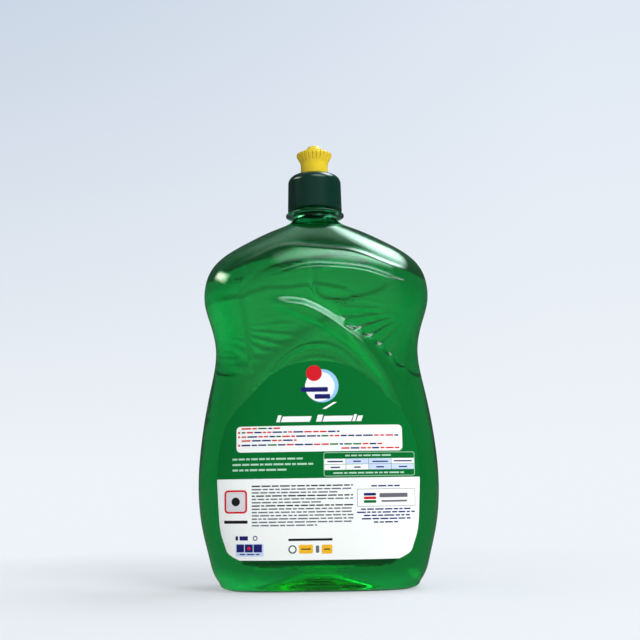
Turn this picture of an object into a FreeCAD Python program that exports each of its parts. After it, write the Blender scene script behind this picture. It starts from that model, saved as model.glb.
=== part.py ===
"""Dish soap bottle: a flat-oval blown bottle of clear green plastic filled with green soap,
with a self-adhesive label, a dark green screw cap and a yellow push-pull spout.

Millimetres; the origin is on the table under the middle of the bottle, +Z is up, -Y is the label's side.
"""
import FreeCAD
import Part
import math
import os
from FreeCAD import Matrix, Vector

# The blown body
body_width = 134.8
body_depth = 74.4
shoulder_height = 210.5
wall = 0.7
base_wall = 1.1
squareness = 3.2
round_from = 0.76
section_points = 24
dome_length = 86.0
dome_width = 38.0
dome_height = 10.5
soap_below_shoulder = 5.5
film_gap = 0.25

# The neck finish
neck_radius = 12.6
neck_wall = 1.75
neck_height = 24.7
neck_core = 3.0
neck_foot_depth = 4.0
lip_rounding = 0.4
throat_overlap = 0.5
throat_step = 0.2
collar_step = 0.4
collar_rounding = 0.5
ring_reach = 4.1
ring_height = 2.3
ring_edge = 1.3
ring_draft = 0.3
ring_slope = 1.2
ring_rounding = 0.4
ring_foot_reach = 0.6
bead_reach = 1.15
bead_height = 6.3
bead_thickness = 1.4
bead_draft = 0.25
bead_rounding = 0.3
thread_pitch = 4.0
thread_turns = 1.5
thread_depth = 1.15
thread_root = 1.9
thread_crest = 0.9
thread_lead = 2.6
thread_sunk = 0.3
thread_flank_gap = 0.3

# The screw cap and its liner
cap_wall = 1.9
cap_draft = 0.45
cap_corner = 5.0
cap_foot_gap = 0.9
cap_deck = 1.6
cap_deck_rounding = 1.5
cap_thread_clearance = 0.3
cap_thread_relief = 0.1
cap_rim_chamfer = 0.4
liner_thickness = 1.1
liner_gap = 0.05
liner_edge_gap = 0.3
liner_reach = 2.45

# The tower on the cap, and the spout that slides on it
tower_radius = 6.4
tower_wall = 1.2
tower_bead = 0.35
tower_bead_height = 1.2
tower_bead_slope = 0.4
tower_rounding = 0.3
spout_travel = 5.0
spout_clearance = 0.2
spout_wall = 1.1
spout_lip_height = 1.2
spout_lip_slope = 0.4
spout_foot_gap = 0.3
spout_draft = 0.1
spout_foot_rounding = 0.2
crown_reach = 2.4
crown_rim = 1.1
crown_flare_height = 5.6
crown_flare_rounding = 6.0
crown_low_rounding = 0.5
crown_top_rounding = 0.6
crown_over_ceiling = 1.2
ceiling_gap = 4.2
cone_height = 2.6
tip_height = 2.2
tip_shoulder_radius = 5.4
tip_shoulder_rounding = 1.0
tip_radius = 3.4
tip_rounding = 0.8
tip_wall = 1.5
orifice_length = 2.0
crown_grooves = 26
groove_radius = 0.55
groove_foot_lift = 0.6
groove_foot_offset = 0.35
groove_top_offset = 0.25
groove_below_rim = 0.5
pin_radius = 1.9
pin_clearance = 0.2
pin_below_top = 0.9
pin_rounding = 0.5
spoke_count = 3
spoke_width = 1.5
spoke_height = 2.6
spoke_overlap = 0.3

# The label
label_thickness = 0.12
label_gap = 0.15

# The body's outlines, seen from the front and from the side: share of the shoulder's height, share of the half size
front_outline = [
    (0.0, 0.745), (0.005, 0.792), (0.015, 0.823), (0.034, 0.858), (0.076, 0.904), (0.152, 0.963),
    (0.27, 1.0), (0.40, 0.97), (0.52, 0.905), (0.632, 0.857), (0.70, 0.9), (0.755, 0.95),
    (0.81, 0.953), (0.86, 0.9), (0.898, 0.79), (0.936, 0.597), (0.969, 0.377), (0.988, 0.238),
]
side_outline = [
    (0.0, 0.69), (0.005, 0.765), (0.015, 0.825), (0.034, 0.893), (0.076, 0.962), (0.152, 0.995),
    (0.27, 1.0), (0.57, 1.0), (0.70, 0.985), (0.80, 0.945), (0.87, 0.86), (0.936, 0.63),
    (0.969, 0.465), (0.988, 0.378),
]
loft_shares = [
    0.0, 0.005, 0.015, 0.034, 0.067, 0.12, 0.2, 0.27, 0.36, 0.45, 0.55, 0.632, 0.69, 0.745, 0.8,
    0.845, 0.884, 0.917, 0.945, 0.969, 0.988, 1.0,
]

# The relief blown into the front, in shares of half the width and of the shoulder's height.
# Each raised line has its path, how far it stands out at each point in mm, and the radius of its back.
band_path = [(-0.40, 0.742), (-0.26, 0.735), (-0.09, 0.722), (0.12, 0.675), (0.31, 0.626),
             (0.47, 0.573), (0.58, 0.525), (0.645, 0.485), (0.70, 0.445)]
band_rise = [-0.5, 0.2, 1.0, 1.3, 1.4, 1.3, 0.8, 0.1, -0.9]
band_back = 11.0
arch_path = [(-0.385, 0.548), (-0.345, 0.567), (-0.25, 0.603), (-0.11, 0.628), (0.05, 0.63),
             (0.21, 0.612), (0.33, 0.575), (0.385, 0.551)]
arch_rise = [-0.5, 0.4, 0.8, 0.8, 0.8, 0.8, 0.4, -0.5]
arch_back = 2.6
upper_ridge_path = [(-0.72, 0.835), (-0.55, 0.866), (-0.35, 0.893), (-0.1, 0.902), (0.15, 0.894),
                    (0.38, 0.872), (0.60, 0.845), (0.78, 0.82)]
upper_ridge_rise = [-0.6, 0.2, 0.7, 0.8, 1.0, 1.1, 0.8, -0.6]
lower_ridge_path = [(-0.42, 0.815), (-0.25, 0.828), (-0.05, 0.842), (0.18, 0.842), (0.40, 0.827),
                    (0.62, 0.807), (0.80, 0.785)]
lower_ridge_rise = [-0.6, 0.3, 0.7, 1.0, 1.1, 0.8, -0.6]
ridge_back = 4.5
raised_lines = [
    (band_path, band_rise, band_back), (arch_path, arch_rise, arch_back),
    (upper_ridge_path, upper_ridge_rise, ridge_back), (lower_ridge_path, lower_ridge_rise, ridge_back),
]

# The scoops of the fan run from near its centre to these ends along the band, in the same shares
fan_centre = (0.755, 0.696)
fan_ends = [(0.144, 0.713), (0.27, 0.683), (0.404, 0.66), (0.503, 0.64), (0.589, 0.614),
            (0.681, 0.584), (0.786, 0.566)]
fan_start_share = 0.36
fan_start_radius = 0.8
fan_end_radius = 5.4
fan_start_lift = 1.1
fan_depth = 1.4

# The label's outline in the same shares, up the right-hand side from the foot to the crown
label_side = [(0.63, 0.083), (0.70, 0.094), (0.745, 0.114), (0.775, 0.142), (0.80, 0.21), (0.812, 0.288),
              (0.792, 0.363), (0.735, 0.424), (0.645, 0.464), (0.52, 0.504), (0.36, 0.552), (0.18, 0.578)]
label_crown = (0.0, 0.5845)

origin = Vector(0, 0, 0)
upwards = Vector(0, 0, 1)
touching = 1e-6
slope_step = 0.5

# What follows from the sizes above
collar_radius = neck_radius + collar_step
ring_radius = collar_radius + ring_reach
bead_radius = neck_radius + bead_reach
neck_bore_radius = neck_radius - neck_wall
neck_top = shoulder_height + neck_height
ring_low = shoulder_height + ring_height
ring_top = ring_low + ring_edge
thread_low = neck_top - thread_lead - thread_pitch * thread_turns
soap_top = shoulder_height - soap_below_shoulder
cap_deck_under = neck_top + liner_thickness + 2 * liner_gap
cap_top = cap_deck_under + cap_deck
cap_foot = ring_top + ring_slope + cap_foot_gap
cap_bore = neck_radius + thread_depth + cap_thread_clearance
cap_radius = cap_bore + cap_wall
liner_hole_radius = neck_bore_radius - liner_reach
spout_foot = cap_top + spout_foot_gap
spout_bore = tower_radius + tower_bead + spout_clearance
spout_lip_radius = tower_radius + spout_clearance
sleeve_radius = spout_bore + spout_wall
tower_bead_low = spout_foot + spout_lip_height + spout_travel + spout_clearance
tower_top = tower_bead_low + tower_bead_height
spout_ceiling = tower_top + ceiling_gap
crown_radius = sleeve_radius + crown_reach
crown_top = spout_ceiling + crown_over_ceiling
crown_waist = crown_top - crown_flare_height
tip_shoulder = crown_top + cone_height
spout_top = tip_shoulder + tip_height


def as_size(shares, size):
    """Share pairs (height, radius) as a smooth curve whose parameter is the height."""
    points = [(share * shoulder_height, radius * size) for share, radius in shares]
    points.append((shoulder_height, collar_radius + throat_step))
    curve = Part.BSplineCurve()
    curve.interpolate(
        Points=[Vector(radius, 0, height) for height, radius in points],
        Parameters=[height for height, radius in points],
    )
    return curve


front_curve = as_size(front_outline, body_width / 2)
side_curve = as_size(side_outline, body_depth / 2)


def section_sizes(height):
    """Half width, half depth and squareness of the body at a height."""
    turn = min(max((height / shoulder_height - round_from) / (1 - round_from), 0.0), 1.0)
    soft = turn * turn * (3 - 2 * turn)
    power = squareness + (2.0 - squareness) * soft
    return front_curve.value(height).x, side_curve.value(height).x, power


def section_wire(height, inset):
    """One closed flat-oval section of the body, moved inwards by inset."""
    half_width, half_depth, power = section_sizes(height)
    points = []
    for step in range(section_points):
        turn = math.pi / 2 + 2 * math.pi * step / section_points
        along, across = math.cos(turn), math.sin(turn)
        x = math.copysign(abs(along) ** (2 / power), along) * (half_width - inset)
        y = math.copysign(abs(across) ** (2 / power), across) * (half_depth - inset)
        points.append(Vector(x, y, height))
    oval = Part.BSplineCurve()
    oval.interpolate(Points=points, PeriodicFlag=True)
    return Part.Wire([oval.toShape()])


def plain_body(inset):
    """The body without relief, as one loft through its sections."""
    wires = [section_wire(share * shoulder_height, inset) for share in loft_shares]
    return Part.makeLoft(wires, True, False)


def front_spot(spot):
    """A point of the front face and the direction that points out of it there."""
    x, height = spot[0] * body_width / 2, spot[1] * shoulder_height

    def depth_at(x_here, height_here):
        half_width, half_depth, power = section_sizes(height_here)
        share = min(abs(x_here) / half_width, 1.0)
        return -half_depth * (1 - share**power) ** (1 / power)

    slope_x = (depth_at(x + slope_step, height) - depth_at(x - slope_step, height)) / (2 * slope_step)
    slope_z = (depth_at(x, height + slope_step) - depth_at(x, height - slope_step)) / (2 * slope_step)
    outwards = Vector(slope_x, -1, slope_z)
    outwards.normalize()
    return Vector(x, depth_at(x, height), height), outwards


def raised_line(path, rises, back, inset):
    """A round bar laid under the front face, which stands proud of it by each rise along the path."""
    points = []
    for spot, rise in zip(path, rises):
        place, outwards = front_spot(spot)
        points.append(place - outwards * (back - rise))
    spine = Part.BSplineCurve()
    spine.interpolate(Points=points)
    start, along = spine.value(spine.FirstParameter), spine.tangent(spine.FirstParameter)[0]
    ring = Part.Wire([Part.makeCircle(back - inset, start, along)])
    return Part.Wire([spine.toShape()]).makePipeShell([ring], True, True)


def fan_scoop(end, inset):
    """One scoop of the fan: a cone with round ends that bites deepest where the scoop meets the band."""
    start = tuple(c + (e - c) * fan_start_share for c, e in zip(fan_centre, end))
    start_place, start_out = front_spot(start)
    end_place, end_out = front_spot(end)
    low = start_place + start_out * (fan_start_radius + fan_start_lift - fan_depth)
    high = end_place + end_out * (fan_end_radius - fan_depth)
    along = high - low
    length = along.Length
    along.normalize()
    aside = along.cross(end_out)
    aside.normalize()
    lean = math.pi / 2 + math.asin((fan_end_radius - fan_start_radius) / length)

    def place(centre, radius, turn):
        return centre + along * (radius * math.cos(turn)) + aside * (radius * math.sin(turn))

    def round_end(centre, radius, first, last):
        spots = [place(centre, radius, turn) for turn in (first, (first + last) / 2, last)]
        return Part.Arc(*spots).toShape(), spots[0], spots[-1]

    start_arc, start_pole, start_rim = round_end(low, fan_start_radius + inset, math.pi, lean)
    end_arc, end_rim, end_pole = round_end(high, fan_end_radius + inset, lean, 0.0)
    flank = Part.makeLine(start_rim, end_rim)
    axis = Part.makeLine(end_pole, start_pole)
    return Part.Face(Part.Wire([start_arc, flank, end_arc, axis])).revolve(low, along, 360)


def turned_round(shape):
    """A copy on the other side of the bottle, whose back repeats the front."""
    return shape.rotated(origin, upwards, 180)


def scooped_half(inset):
    """The front half of the body with the fan's scoops, moved inwards by inset so that the wall follows it."""
    front = Part.makeBox(2 * body_width, body_depth, shoulder_height, Vector(-body_width, -body_depth, 0))
    return plain_body(inset).common(front).cut([fan_scoop(end, inset) for end in fan_ends])


def shaped_body(inset):
    """The whole body with its scoops and raised lines on the front and on the back."""
    half = scooped_half(inset)
    for path, rises, back in raised_lines:
        half = half.fuse(raised_line(path, rises, back, inset))
    return half.fuse(turned_round(half))


def base_dome(inset):
    """The hollow pushed up into the base, grown by inset."""
    ball = Part.makeSphere(1.0)
    stretch = Matrix()
    stretch.scale(dome_length / 2 + inset, dome_width / 2 + inset, dome_height + inset)
    return ball.transformGeometry(stretch)


def slab(low, high):
    """A block wider and deeper than the bottle, between two heights."""
    return Part.makeBox(2 * body_width, 2 * body_depth, high - low, Vector(-body_width, -body_depth, low))


def turned(points):
    """A solid turned about the bottle's axis from (radius, height) corners; a third number rounds a corner."""
    corners = [Vector(point[0], 0, point[1]) for point in points]
    edges = []
    ends = []
    count = len(corners)
    for index, point in enumerate(points):
        here = corners[index]
        if len(point) < 3:
            ends.append((here, here))
            continue
        back = corners[index - 1] - here
        forward = corners[(index + 1) % count] - here
        half = back.getAngle(forward) / 2
        cut = point[2] / math.tan(half)
        back.normalize()
        forward.normalize()
        middle = back + forward
        middle.normalize()
        centre = here + middle * (point[2] / math.sin(half))
        on_arc = centre - middle * point[2]
        ends.append((here + back * cut, here + forward * cut))
        edges.append(Part.Arc(ends[-1][0], on_arc, ends[-1][1]).toShape())
    for index in range(count):
        start, end = ends[index][1], ends[(index + 1) % count][0]
        if start.distanceToPoint(end) > touching:
            edges.append(Part.makeLine(start, end))
    outline = Part.Wire(Part.__sortEdges__(edges))
    return Part.Face(outline).revolve(origin, upwards, 360)


def thread(root_radius, depth, start):
    """A right-handed thread of trapezoid section; a negative depth points it inwards."""
    sunk = math.copysign(thread_sunk, depth)
    spine = Part.makeHelix(thread_pitch, thread_pitch * thread_turns, root_radius)
    corners = [
        Vector(root_radius - sunk, 0, -thread_root / 2),
        Vector(root_radius, 0, -thread_root / 2),
        Vector(root_radius + depth, 0, -thread_crest / 2),
        Vector(root_radius + depth, 0, thread_crest / 2),
        Vector(root_radius, 0, thread_root / 2),
        Vector(root_radius - sunk, 0, thread_root / 2),
    ]
    profile = Part.makePolygon(corners + corners[:1])
    bar = Part.Wire(spine.Edges).makePipeShell([profile], True, True)
    bar.translate(Vector(0, 0, start))
    return bar


def neck():
    """Neck finish over the shoulder: collar, carrying ring, bead, thread wall and lip."""
    core = neck_bore_radius - neck_core
    foot = shoulder_height - neck_foot_depth
    bead_low = shoulder_height + bead_height - bead_thickness / 2
    bead_top = bead_low + bead_thickness
    profile = turned([
        (core, foot), (neck_radius, foot), (collar_radius, shoulder_height - throat_overlap),
        (collar_radius, ring_low, collar_rounding),
        (ring_radius, ring_low + ring_draft, ring_rounding), (ring_radius, ring_top, ring_rounding),
        (neck_radius + ring_foot_reach, ring_top + ring_slope, ring_rounding), (neck_radius, bead_low - bead_draft),
        (neck_radius, bead_low), (bead_radius, bead_low + bead_draft, bead_rounding),
        (bead_radius, bead_top - bead_draft, bead_rounding), (neck_radius, bead_top + bead_draft),
        (neck_radius, neck_top, lip_rounding), (core, neck_top),
    ])
    return profile.fuse(thread(neck_radius, thread_depth, thread_low))


def cavity():
    """The space inside the bottle: the body moved in by the wall, and the throat through the neck."""
    inside = slab(base_wall, neck_top).common(shaped_body(wall)).cut(base_dome(base_wall))
    throat = turned([
        (0, shoulder_height - throat_overlap), (collar_radius - wall, shoulder_height - throat_overlap),
        (neck_bore_radius, shoulder_height + ring_height), (neck_bore_radius, neck_top + throat_overlap),
        (0, neck_top + throat_overlap),
    ])
    return inside.fuse(throat)


def bottle():
    """The blown bottle: one wall from the pushed-up base to the lip of the neck."""
    outside = shaped_body(0).cut(base_dome(0)).fuse(neck())
    return outside.cut(cavity())


def dish_liquid():
    """The soap, a film's width clear of the wall and of the scoops, up to its level under the neck."""
    low = base_wall + film_gap
    half = scooped_half(wall + film_gap)
    return slab(low, soap_top).common(half.fuse(turned_round(half))).cut(base_dome(low))


def label():
    """A printed film on the front, cut to a rounded arch, which follows the face of the body."""
    def place(spot):
        return Vector(spot[0] * body_width / 2, 0, spot[1] * shoulder_height)

    right = [place(spot) for spot in label_side] + [place(label_crown)]
    left = [Vector(-point.x, 0, point.z) for point in reversed(right)]
    outline = Part.BSplineCurve()
    outline.interpolate(Points=right + left[1:])
    foot = Part.makeLine(left[-1], right[0])
    blank = Part.Face(Part.Wire([outline.toShape(), foot])).extrude(Vector(0, -body_depth, 0))
    film = blank.common(plain_body(-label_gap - label_thickness))
    return film.cut(plain_body(-label_gap))


def cap():
    """The screw cap: skirt, deck, the tower that guides the spout, and the pin that closes it."""
    passage_radius = tower_radius - tower_wall
    skirt = turned([
        (0, cap_foot), (cap_radius - cap_rim_chamfer, cap_foot), (cap_radius, cap_foot + cap_rim_chamfer),
        (cap_radius - cap_draft, cap_top, cap_corner), (0, cap_top),
    ])
    inside = turned([
        (0, cap_foot), (cap_bore, cap_foot), (cap_bore, cap_deck_under, cap_deck_rounding), (0, cap_deck_under),
    ])
    tower = turned([
        (passage_radius, cap_deck_under), (tower_radius, cap_deck_under), (tower_radius, tower_bead_low),
        (tower_radius + tower_bead, tower_bead_low + tower_bead_slope),
        (tower_radius + tower_bead, tower_top - tower_bead_slope), (tower_radius, tower_top, tower_rounding),
        (passage_radius, tower_top),
    ])
    passage = Part.makeCylinder(passage_radius, tower_top - cap_foot, Vector(0, 0, cap_foot))
    pin_top = spout_top - pin_below_top
    pin = turned([
        (0, cap_deck_under), (pin_radius, cap_deck_under), (pin_radius, pin_top, pin_rounding), (0, pin_top),
    ])
    spokes = []
    for index in range(spoke_count):
        spoke = Part.makeBox(passage_radius + spoke_overlap, spoke_width, spoke_height,
                             Vector(0, -spoke_width / 2, cap_deck_under))
        spoke.rotate(origin, upwards, 90 + 360 * index / spoke_count)
        spokes.append(spoke)
    under_neck_thread = (thread_root + thread_crest) / 2 + thread_flank_gap
    inner_thread = thread(cap_bore, cap_thread_relief - thread_depth, thread_low - under_neck_thread)
    shell = skirt.cut(inside).cut(passage)
    return shell.fuse([tower, pin, inner_thread] + spokes)


def cap_liner():
    """The foam washer that seals the lip of the neck against the cap's deck."""
    foot = Vector(0, 0, neck_top + liner_gap)
    disc = Part.makeCylinder(cap_bore - liner_edge_gap - thread_depth, liner_thickness, foot)
    return disc.cut(Part.makeCylinder(liner_hole_radius, liner_thickness, foot))


def spout():
    """The push-pull spout: a sleeve on the tower, a fluted crown to grip, and a domed top with its hole."""
    body = turned([
        (0, spout_foot), (sleeve_radius - spout_draft, spout_foot, spout_foot_rounding),
        (sleeve_radius, crown_waist, crown_flare_rounding),
        (crown_radius, crown_top - crown_rim, crown_low_rounding), (crown_radius, crown_top, crown_top_rounding),
        (tip_shoulder_radius, tip_shoulder, tip_shoulder_rounding), (tip_radius, spout_top, tip_rounding),
        (0, spout_top),
    ])
    tip_bore = tip_shoulder_radius - tip_wall
    lip_top = spout_foot + spout_lip_height
    hollow = turned([
        (0, spout_foot), (spout_lip_radius, spout_foot), (spout_lip_radius, lip_top),
        (spout_bore, lip_top + spout_lip_slope), (spout_bore, spout_ceiling), (tip_bore, spout_ceiling),
        (tip_bore, spout_top - orifice_length), (0, spout_top - orifice_length),
    ])
    hole = Part.makeCylinder(pin_radius + pin_clearance, spout_top - spout_ceiling + orifice_length,
                             Vector(0, 0, spout_ceiling))
    low = Vector(sleeve_radius + groove_foot_offset, 0, crown_waist + groove_foot_lift)
    high = Vector(crown_radius + groove_top_offset, 0, crown_top - groove_below_rim)
    grooves = []
    for index in range(crown_grooves):
        groove = Part.makeCylinder(groove_radius, (high - low).Length, low, high - low)
        groove.rotate(origin, upwards, 360 * index / crown_grooves)
        grooves.append(groove)
    return body.cut([hollow, hole] + grooves)


def save(name, shape):
    """Writes one piece, and says whether it is sound."""
    shape.exportStep(f"parts/{name}.step")
    box = shape.optimalBoundingBox(False, False)
    print(f"{name}: valid {shape.isValid()}, solids {len(shape.Solids)}, faces {len(shape.Faces)}, "
          f"{shape.Volume / 1000:.2f} ml, x {box.XMin:.1f} to {box.XMax:.1f}, "
          f"y {box.YMin:.1f} to {box.YMax:.1f}, z {box.ZMin:.2f} to {box.ZMax:.2f}")


def main():
    os.makedirs("parts", exist_ok=True)
    save("bottle", bottle())
    save("dish_liquid", dish_liquid())
    save("label", label())
    save("cap", cap())
    save("cap_liner", cap_liner())
    save("spout", spout())


main()
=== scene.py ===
import math

import bmesh
import bpy
import numpy as np
from mathutils import Matrix, Vector


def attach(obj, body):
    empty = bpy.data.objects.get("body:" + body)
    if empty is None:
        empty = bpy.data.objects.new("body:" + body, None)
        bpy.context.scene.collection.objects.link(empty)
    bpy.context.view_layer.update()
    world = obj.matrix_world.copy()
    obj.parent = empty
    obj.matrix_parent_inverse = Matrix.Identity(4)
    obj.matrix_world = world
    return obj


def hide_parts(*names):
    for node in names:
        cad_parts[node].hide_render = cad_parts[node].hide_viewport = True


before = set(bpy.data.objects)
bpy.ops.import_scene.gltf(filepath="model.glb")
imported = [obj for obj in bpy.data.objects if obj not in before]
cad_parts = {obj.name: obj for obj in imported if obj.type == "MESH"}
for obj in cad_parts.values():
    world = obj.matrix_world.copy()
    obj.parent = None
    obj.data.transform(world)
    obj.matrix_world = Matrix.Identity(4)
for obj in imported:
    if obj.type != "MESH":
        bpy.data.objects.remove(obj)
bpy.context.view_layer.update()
print("frame loaded")
mm = 0.001

# the camera stands where the photograph was taken from
view = {
    "place": (0.0021, -0.600, 0.055),
    "pitchUp": 9.14,
    "roll": -0.85,
    "lens": 58.7,
}


def addCamera():
    camera = bpy.data.cameras.new("camera")
    camera.lens = view["lens"]
    camera.sensor_width = 36
    camera.clip_start = 0.01
    seat = bpy.data.objects.new("camera", camera)
    turn = Matrix.Rotation(math.radians(90 + view["pitchUp"]), 4, "X")
    lean = Matrix.Rotation(math.radians(view["roll"]), 4, "Z")
    seat.matrix_world = Matrix.Translation(view["place"]) @ turn @ lean
    bpy.context.scene.collection.objects.link(seat)
    bpy.context.scene.camera = seat


addCamera()

# materials: plain sockets first, then what the surface does by itself
def newMaterial(name, sockets):
    material = bpy.data.materials.new(name)
    material.use_nodes = True
    shader = material.node_tree.nodes["Principled BSDF"]
    for socket, value in sockets.items():
        shader.inputs[socket].default_value = value
    return material


def addNode(material, kind, sockets=None, **settings):
    node = material.node_tree.nodes.new(kind)
    for key, value in settings.items():
        setattr(node, key, value)
    for socket, value in (sockets or {}).items():
        node.inputs[socket].default_value = value
    return node


def link(material, start, end):
    material.node_tree.links.new(start, end)


def shaderOf(material):
    return material.node_tree.nodes["Principled BSDF"]


def addBump(material, scale, distance, detail=3.0):
    # a fine unevenness of the surface, read from the object's own coordinates
    coords = addNode(material, "ShaderNodeTexCoord")
    noise = addNode(material, "ShaderNodeTexNoise", {"Scale": scale, "Detail": detail})
    bump = addNode(material, "ShaderNodeBump", {"Strength": 1.0, "Distance": distance})
    link(material, coords.outputs["Object"], noise.inputs["Vector"])
    link(material, noise.outputs["Fac"], bump.inputs["Height"])
    link(material, bump.outputs["Normal"], shaderOf(material).inputs["Normal"])


wallLook = {
    "tint": (0.11, 0.66, 0.325, 1),
    "ior": 1.55,
    "roughness": 0.04,
    "waveScale": 60,
    "waveHeight": 0.00006,
}
soapLook = {
    "absorb": (0.1, 0.92, 0.42, 1),
    "density": 14,
    "ior": 1.22,
}


def makeWallMaterial():
    material = newMaterial("blownWall", {
        "Base Color": wallLook["tint"], "Roughness": wallLook["roughness"],
        "IOR": wallLook["ior"], "Transmission Weight": 1.0,
    })
    addBump(material, wallLook["waveScale"], wallLook["waveHeight"], 1.0)
    return material


def makeSoapMaterial():
    material = newMaterial("dishSoap", {
        "Base Color": (1, 1, 1, 1), "Roughness": 0.0, "IOR": soapLook["ior"], "Transmission Weight": 1.0,
    })
    absorb = addNode(material, "ShaderNodeVolumeAbsorption", {
        "Color": soapLook["absorb"], "Density": soapLook["density"],
    })
    link(material, absorb.outputs["Volume"], material.node_tree.nodes["Material Output"].inputs["Volume"])
    return material


def makeCapMaterial():
    material = newMaterial("darkGreenPlastic", {
        "Base Color": (0.0025, 0.028, 0.018, 1), "Roughness": 0.2, "IOR": 1.46,
    })
    addBump(material, 900, 0.00001)
    return material


def makeSpoutMaterial():
    material = newMaterial("yellowPlastic", {
        "Base Color": (0.82, 0.60, 0.02, 1), "Roughness": 0.36, "IOR": 1.49,
        "Subsurface Weight": 0.15, "Subsurface Radius": (0.004, 0.003, 0.001), "Subsurface Scale": 0.5,
    })
    addBump(material, 700, 0.00002)
    return material


def makeLinerMaterial():
    material = newMaterial("linerFoam", {"Base Color": (0.85, 0.85, 0.82, 1), "Roughness": 0.8})
    addBump(material, 1500, 0.00004)
    return material


def makeLabelMaterial(name, colour):
    material = newMaterial(name, {"Base Color": colour, "Roughness": 0.42, "IOR": 1.46, "Specular IOR Level": 0.12})
    addBump(material, 320, 0.00001)
    return material


# the label: height and half width up one side, and how far over the plain front its layers lie
label = {
    "outline": [(17.47, 42.5), (19.8, 47.2), (24.0, 50.2), (29.9, 52.2), (44.2, 53.9), (60.6, 54.7), (76.4, 53.4),
                (89.25, 49.5), (97.7, 43.5), (106.1, 35.05), (116.2, 24.3), (121.7, 12.1), (123.04, 0.0)],
    "under": 0.04,
    "film": 0.17,
    "layer": 0.022,
    "whiteTop": 60.2,
    "footBend": 30,
}

# the blown body: outlines as shares of the shoulder's height and of half the size
body = {
    "halfWidth": 67.4,
    "halfDepth": 37.2,
    "shoulder": 210.5,
    "topRadius": 13.2,
    "wall": 0.7,
    "squareness": 3.2,
    "roundFrom": 0.76,
    "front": [
        (0.0, 0.745), (0.005, 0.792), (0.015, 0.823), (0.034, 0.858), (0.076, 0.904), (0.152, 0.963),
        (0.27, 1.0), (0.40, 0.97), (0.52, 0.905), (0.632, 0.857), (0.70, 0.9), (0.755, 0.95),
        (0.81, 0.95), (0.86, 0.893), (0.898, 0.778), (0.936, 0.585), (0.969, 0.375), (0.988, 0.238),
    ],
    "side": [
        (0.0, 0.69), (0.005, 0.765), (0.015, 0.825), (0.034, 0.893), (0.076, 0.962), (0.152, 0.995),
        (0.27, 1.0), (0.57, 1.0), (0.70, 0.985), (0.80, 0.945), (0.87, 0.86), (0.936, 0.63),
        (0.969, 0.465), (0.988, 0.378),
    ],
    "puntShare": 0.84,
    "puntHeight": 10.5,
    "baseWall": 1.1,
    "baseEdge": 0.985,
    "innerDrop": 0.5,
    "columns": 224,
    "frontWeight": 2.0,
    "outsideStep": 1.0,
    "insideStep": 1.7,
}


def smoothThrough(pairs):
    # a natural cubic through the pairs, which takes numbers or arrays
    xs, ys = np.array(pairs, dtype=float).T
    count = len(xs)
    steps = np.diff(xs)
    slopes = np.diff(ys) / steps
    grid = np.eye(count)
    right = np.zeros(count)
    for i in range(1, count - 1):
        grid[i, i - 1:i + 2] = steps[i - 1], 2 * (steps[i - 1] + steps[i]), steps[i]
        right[i] = 6 * (slopes[i] - slopes[i - 1])
    bend = np.linalg.solve(grid, right)

    def at(x):
        x = np.clip(x, xs[0], xs[-1])
        i = np.clip(np.searchsorted(xs, x) - 1, 0, count - 2)
        before, after, step = xs[i + 1] - x, x - xs[i], steps[i]
        return (
            (bend[i] * before**3 + bend[i + 1] * after**3) / (6 * step)
            + (ys[i] / step - bend[i] * step / 6) * before
            + (ys[i + 1] / step - bend[i + 1] * step / 6) * after
        )

    return at


def bodyOutline(shares, half):
    pairs = [(share * body["shoulder"], size * half) for share, size in shares]
    return smoothThrough(pairs + [(body["shoulder"], body["topRadius"])])


frontHalf = bodyOutline(body["front"], body["halfWidth"])
sideHalf = bodyOutline(body["side"], body["halfDepth"])


def smoothStep(x):
    x = np.clip(x, 0, 1)
    return x * x * (3 - 2 * x)


def squareAt(z):
    soft = smoothStep((z / body["shoulder"] - body["roundFrom"]) / (1 - body["roundFrom"]))
    return body["squareness"] + (2.0 - body["squareness"]) * soft


def sectionPoint(turn, z, inset):
    # the flat-oval section at a height, by its true angle, with its level normal
    a, b, power = frontHalf(z) - inset, sideHalf(z) - inset, squareAt(z)
    cos, sin = np.cos(turn), np.sin(turn)
    reach = ((np.abs(cos) / a) ** power + (np.abs(sin) / b) ** power) ** (-1 / power)
    x, y = reach * cos, reach * sin
    nx = np.sign(x) * (np.abs(x) / a) ** (power - 1) / a
    ny = np.sign(y) * (np.abs(y) / b) ** (power - 1) / b
    size = np.hypot(nx, ny)
    return x, y, nx / size, ny / size


def evenTurns(columns, frontWeight):
    # angles a like distance apart along the section, closer together on the front
    turns = np.linspace(0, 2 * np.pi, 4001)
    x, y, nx, ny = sectionPoint(turns, np.full_like(turns, 120.0), 0)
    lengths = np.hypot(np.diff(x), np.diff(y)) * np.where((y[1:] + y[:-1]) < 0, frontWeight, 1.0)
    along = np.concatenate([[0], np.cumsum(lengths)])
    return np.interp(np.linspace(0, along[-1], columns + 1), along, turns)


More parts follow.
